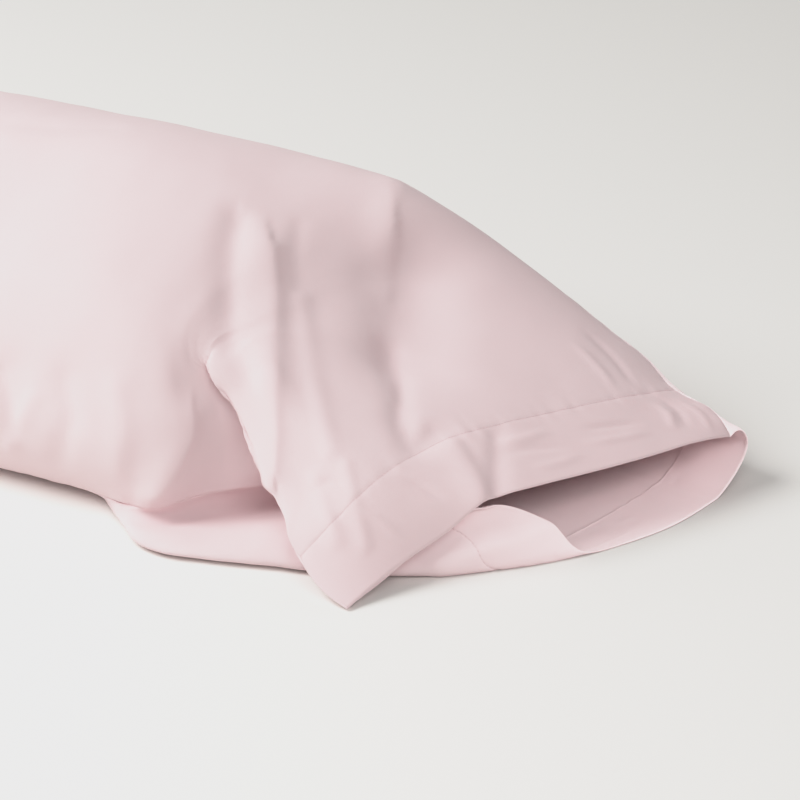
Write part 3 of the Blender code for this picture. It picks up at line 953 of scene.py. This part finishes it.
def cotton(name, settings, seed):
    """Plain-woven cotton: crossing yarns of uneven thickness, a soft nap and a slightly cloudy dye."""
    graph = Graph(name)
    across = graph.node(
        "ShaderNodeSeparateXYZ", {}, {"Vector": graph.node("ShaderNodeUVMap", {"uv_map": "Cloth"}, {}, "UV")}
    )
    along = across.beside("Y")
    warp = (across * (math.pi / settings.yarn_pitch)).sine()
    weft = (along * (math.pi / settings.yarn_pitch)).sine()
    over = (warp * weft * YARN_SHARPNESS).math("TANH")
    yarns = warp.size() * (over + 1.0) * 0.5 + weft.size() * (1.0 - over) * 0.5
    warp_place = graph.place(across * SLUBS_ACROSS, along * SLUBS_ALONG, seed)
    weft_place = graph.place(across * SLUBS_ALONG, along * SLUBS_ACROSS, seed + WEFT_SEED)
    slubs = graph.cloudy(warp_place, 1.0) + graph.cloudy(weft_place, 1.0)
    cloud = graph.cloudy(graph.place(across, along, seed), settings.cloud_scale, DYE_DETAIL)
    hem = along.between(HEM_LINE - HEM_BLEND, HEM_LINE + HEM_BLEND)
    graph.dye(settings.colour, COTTON_SPREAD, cloud * 0.5 + slubs * 0.2 + yarns * 0.08 + hem * 0.12)
    graph.feed("Roughness", slubs * SLUB_ROUGHNESS + (settings.roughness - SLUB_ROUGHNESS))
    values = {
        "Strength": settings.weave_strength,
        "Distance": settings.yarn_pitch * WEAVE_DEPTH,
        "Height": yarns * 0.4 + slubs * 0.6,
    }
    graph.feed("Normal", graph.node("ShaderNodeBump", {}, values))
    graph.finish(COTTON_FINISH)
    graph.finish({"Subsurface Weight": settings.thinness, "Sheen Weight": settings.nap})
    return graph.material


def thread(name, settings):
    """Twisted sewing thread, dyed to match the cotton."""
    graph = Graph(name)
    twist = graph.cloudy(graph.object_place(), THREAD_TWISTS)
    graph.dye(settings.colour, THREAD_SPREAD, twist)
    graph.feed("Roughness", twist * TWIST_ROUGHNESS + THREAD_ROUGHNESS)
    return graph.material


def floor_finish(name, colour):
    """A plain pale finish, very slightly cloudy."""
    graph = Graph(name)
    graph.dye(colour, FLOOR_SPREAD, graph.cloudy(graph.object_place(), FLOOR_CLOUDS))
    graph.finish({"Roughness": FLOOR_ROUGHNESS})
    return graph.material


def size_setting(name, description, default):
    return bpy.props.FloatProperty(
        name=name, description=description, default=default, unit="LENGTH", precision=5,
    )


def share_setting(name, description, default):
    return bpy.props.FloatProperty(
        name=name, description=description, default=default, subtype="FACTOR", min=0, max=1,
    )


def rounds_setting(name, description, default):
    return bpy.props.IntProperty(name=name, description=description, default=default, min=0)


def colour_setting(name, description, default):
    return bpy.props.FloatVectorProperty(
        name=name, description=description, default=default, subtype="COLOR", size=3, min=0, max=1,
    )


def power_setting(name, description, default):
    return bpy.props.FloatProperty(
        name=name, description=description, default=default, unit="POWER", min=0, precision=3,
    )


def angle_setting(name, description, degrees):
    return bpy.props.FloatProperty(
        name=name, description=description, default=math.radians(degrees), subtype="ANGLE",
    )


class ClothSettings(bpy.types.PropertyGroup):
    """Sizes, in metres, and colour of the case's cotton."""

    colour: colour_setting("Colour", "The cotton's dye", (0.785, 0.600, 0.62))
    roughness: share_setting("Roughness", "How matt the cotton is", 0.88)
    thinness: share_setting("Thinness", "How much light goes through the cloth", 0.15)
    nap: share_setting("Nap", "The soft sheen of loose fibres", 0.25)
    weave_strength: share_setting("Weave strength", "How much the yarns stand out", 0.35)
    cloud_scale: bpy.props.FloatProperty(
        name="Cloud scale", description="How many clouds the dye has in a metre", min=1, default=22.0,
    )
    yarn_pitch: size_setting("Yarn pitch", "From one yarn to the next", 0.0005)
    thickness: size_setting("Thickness", "Of the single cloth", 0.0007)
    hem_thickness: size_setting("Hem turning", "What the turned hem adds inside", 0.0006)
    hem_groove: size_setting("Hem groove", "How deep the hem's stitches pull in", 0.0003)
    seam_groove: size_setting("Seam groove", "How deep the seams draw in", 0.0009)
    seam_groove_width: size_setting("Seam groove width", "Of the groove on each side", 0.0026)
    pucker_height: size_setting("Pucker height", "Of the small waves along seams", 0.0005)
    pucker_pitch: size_setting("Pucker pitch", "The usual length of a pucker", 0.008)
    pucker_reach: size_setting("Pucker reach", "How far puckers run into the cloth", 0.006)
    unevenness: size_setting("Unevenness", "Of the cloth between its folds", 0.0012)
    stitch_pitch: size_setting("Stitch pitch", "From one stitch to the next", 0.003)
    stitch_length: size_setting("Stitch length", "Of the thread that shows", 0.0023)
    stitch_height: size_setting("Stitch height", "Of the thread's middle over the cloth", 0.00015)
    thread: size_setting("Thread", "Thickness of the sewing thread", 0.00045)
    smoothing: rounds_setting("Smoothing", "Rounds of smoothing of the lofted cloth", 8)
    apex_smoothing: rounds_setting("Apex smoothing", "More rounds above the pocket, in crowded cloth", 60)
    fold_smoothing: rounds_setting("Fold smoothing", "Rounds of smoothing of the folds", 2)


class StageSettings(bpy.types.PropertyGroup):
    """The floor, the soft lights and the camera. A light's turn is counted from the camera's side."""

    floor_colour: colour_setting("Floor", "The plain floor's colour", (0.90, 0.885, 0.86))
    sky_strength: bpy.props.FloatProperty(
        name="Fill light", description="Even light from all round", min=0, default=0.33,
    )
    front_power: power_setting("Front light", "The large light on the camera's side", 20.0)
    front_turn: angle_setting("Front light's turn", "Round the case", 12)
    front_height: angle_setting("Front light's height", "Above the floor", 40)
    side_power: power_setting("Side light", "The large light by the closed end", 62.0)
    side_turn: angle_setting("Side light's turn", "Round the case", -85)
    side_height: angle_setting("Side light's height", "Above the floor", 45)
    light_distance: size_setting("Light distance", "From the case to both large lights", 2.6)
    light_size: size_setting("Light size", "Width of both large lights", 1.8)
    mouth_power: power_setting("Mouth light", "The small light that looks into the mouth", 1.3)
    mouth_turn: angle_setting("Mouth light's turn", "Round the mouth", 70)
    mouth_height: angle_setting("Mouth light's height", "Above the floor", 36)
    mouth_distance: size_setting("Mouth light distance", "From the mouth to the small light", 0.45)
    mouth_size: size_setting("Mouth light size", "Width of the small light", 0.14)
    azimuth: angle_setting("Azimuth", "Camera's turn round the case", 28)
    elevation: angle_setting("Elevation", "Camera's height above the floor", 26)
    distance: size_setting("Distance", "From the camera to the hanging corner", 3.0)
    lens: bpy.props.FloatProperty(
        name="Lens", description="Focal length in millimetres", default=192.857, min=1,
    )


# Where the hanging corner lies in the photo, in pixels of its 800 x 800 frame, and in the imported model.
PHOTO_SIZE = 800
CORNER_PIXEL = (347, 610)
CORNER = (0.29 - CENTRE[0], -0.19 - CENTRE[1], 0.001)
SENSOR = 36.0

# What the large lights and the mouth light look at.
LIT_POINT = (0.1, 0.0, 0.08)
MOUTH = (0.33, 0.0, 0.03)
LIGHT_COLOUR = (1.0, 0.99, 0.975)

# How light goes over to the picture's tone, above the straight part of the curve for all colours together.
SHOULDER_TONES = ((0.3, 0.3), (0.6, 0.588), (0.8, 0.742), (1.05, 0.84), (1.4, 0.895), (2.5, 0.97))
ALL_COLOURS = 3

# The floor lies a hair lower than the solids' foot.
FLOOR_SIZE = 8.0
FLOOR_LEVEL = -0.0002


def soft_light(name, place, aim, size, power):
    """A round soft light. No view shows the light itself."""
    light = bpy.data.lights.new(name, "AREA")
    light.shape = "DISK"
    light.size = size
    light.energy = power
    light.color = LIGHT_COLOUR
    lamp = linked(name, light)
    lamp.location = place
    lamp.rotation_euler = (aim - place).to_track_quat("-Z", "Y").to_euler()
    lamp.visible_camera = False
    return lamp


def seen_from(stage, turn, height):
    """A direction: its turn is counted round the case from the camera's side, its height from the floor."""
    azimuth = stage.azimuth + turn
    level = math.cos(height)
    return Vector((math.sin(azimuth) * level, -math.cos(azimuth) * level, math.sin(height)))


def lights(stage):
    """Two large lights over the case, and a small one that looks into its mouth and lights one panel.

    The small one stands for the light that comes through thin cotton.
    """
    aim = Vector(LIT_POINT)
    for name, power, turn, height in (
        ("front", stage.front_power, stage.front_turn, stage.front_height),
        ("side", stage.side_power, stage.side_turn, stage.side_height),
    ):
        place = aim + seen_from(stage, turn, height) * stage.light_distance
        soft_light(name, place, aim, stage.light_size, power)
    aim = Vector(MOUTH)
    place = aim + seen_from(stage, stage.mouth_turn, stage.mouth_height) * stage.mouth_distance
    lamp = soft_light("mouth", place, aim, stage.mouth_size, stage.mouth_power)
    lit = bpy.data.collections.new("lit by the mouth light")
    lit.objects.link(bpy.data.objects["bottom_cloth"])
    lamp.light_linking.receiver_collection = lit


def photo_camera(stage):
    """The camera at the photo's angle: the hanging corner lands on its pixel."""
    back = seen_from(stage, 0.0, stage.elevation)
    right = Vector((math.cos(stage.azimuth), math.sin(stage.azimuth), 0))
    up = back.cross(right)
    pixels = stage.lens / SENSOR * PHOTO_SIZE
    across = (CORNER_PIXEL[0] - PHOTO_SIZE / 2) / pixels
    above = -(CORNER_PIXEL[1] - PHOTO_SIZE / 2) / pixels
    camera = bpy.data.cameras.new("camera")
    camera.lens = stage.lens
    camera.sensor_width = SENSOR
    camera.clip_end = 100.0
    seen = linked("camera", camera)
    seen.location = Vector(CORNER) - stage.distance * (right * across + up * above - back)
    seen.rotation_euler = (-back).to_track_quat("-Z", "Y").to_euler()
    bpy.context.scene.camera = seen


def soft_shoulder(view):
    """A gentle roll-off of the brightest tones, as in a photo."""
    view.view_transform = "Standard"
    view.use_curve_mapping = True
    mapping = view.curve_mapping
    mapping.use_clip = False
    curve = mapping.curves[ALL_COLOURS]
    curve.points[-1].location = SHOULDER_TONES[-1]
    for place, tone in SHOULDER_TONES[:-1]:
        curve.points.new(place, tone)
    mapping.update()


def dress(which, name, node, slot, stitches_name):
    """Build a panel over its solid, and its hem's stitches."""
    settings = bpy.context.scene.pillowcase_cloth
    panel = sewn_panel(settings, which)
    piece = cloth_mesh(name, panel, settings, cotton(slot, settings, panel.seed))
    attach(piece, "root")
    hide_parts(node)
    stitches = stitches_mesh(stitches_name, panel, settings, thread(stitches_name, settings))
    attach(stitches, "root")
    return piece, stitches


class PILLOWCASE_OT_top_panel(bpy.types.Operator):
    """Build the top panel with its hem's stitches"""

    bl_idname = "pillowcase.top_panel"
    bl_label = "Top panel"

    def execute(self, context):
        names = ("top_cloth", "top_panel", "top_cotton", "top_hem_stitches")
        piece, stitches = dress(TOP, *names)
        return {"FINISHED"}


class PILLOWCASE_OT_bottom_panel(bpy.types.Operator):
    """Build the bottom panel with its hem's stitches"""

    bl_idname = "pillowcase.bottom_panel"
    bl_label = "Bottom panel"

    def execute(self, context):
        names = ("bottom_cloth", "bottom_panel", "bottom_cotton", "bottom_hem_stitches")
        piece, stitches = dress(BOTTOM, *names)
        return {"FINISHED"}


class PILLOWCASE_OT_stage(bpy.types.Operator):
    """Build the floor, the lights and the camera"""

    bl_idname = "pillowcase.stage"
    bl_label = "Stage"

    def execute(self, context):
        stage = context.scene.pillowcase_stage
        bpy.ops.mesh.primitive_plane_add(size=FLOOR_SIZE, location=(0.0, 0.0, FLOOR_LEVEL))
        floor = context.active_object
        floor.name = "floor"
        bpy.ops.object.transform_apply(location=True)
        floor.data.materials.append(floor_finish("floor", stage.floor_colour))
        lights(stage)
        world = bpy.data.worlds.new("studio")
        world.use_nodes = True
        background = world.node_tree.nodes["Background"]
        background.inputs["Color"].default_value = (*LIGHT_COLOUR, 1.0)
        background.inputs["Strength"].default_value = stage.sky_strength
        context.scene.world = world
        photo_camera(stage)
        soft_shoulder(context.scene.view_settings)
        return {"FINISHED"}


class PILLOWCASE_PT_panel(bpy.types.Panel):
    """Lists the case's settings and pieces"""

    bl_label = "Pillowcase"
    bl_idname = "PILLOWCASE_PT_panel"
    bl_space_type = "VIEW_3D"
    bl_region_type = "UI"
    bl_category = "Pillowcase"

    def draw(self, context):
        for settings in (context.scene.pillowcase_cloth, context.scene.pillowcase_stage):
            box = self.layout.box()
            for name in settings.__annotations__:
                box.prop(settings, name)
        for step in OPERATORS:
            self.layout.operator(step.bl_idname)


OPERATORS = (
    PILLOWCASE_OT_bottom_panel,
    PILLOWCASE_OT_top_panel,
    PILLOWCASE_OT_stage,
)
CLASSES = (ClothSettings, StageSettings, *OPERATORS, PILLOWCASE_PT_panel)


def register():
    for kind in CLASSES:
        bpy.utils.register_class(kind)
    bpy.types.Scene.pillowcase_cloth = bpy.props.PointerProperty(type=ClothSettings)
    bpy.types.Scene.pillowcase_stage = bpy.props.PointerProperty(type=StageSettings)


def unregister():
    del bpy.types.Scene.pillowcase_stage
    del bpy.types.Scene.pillowcase_cloth
    for kind in reversed(CLASSES):
        bpy.utils.unregister_class(kind)


def main():
    register()
    bpy.ops.pillowcase.bottom_panel()
    bpy.ops.pillowcase.top_panel()
    bpy.ops.pillowcase.stage()


if __name__ == "__main__":
    main()
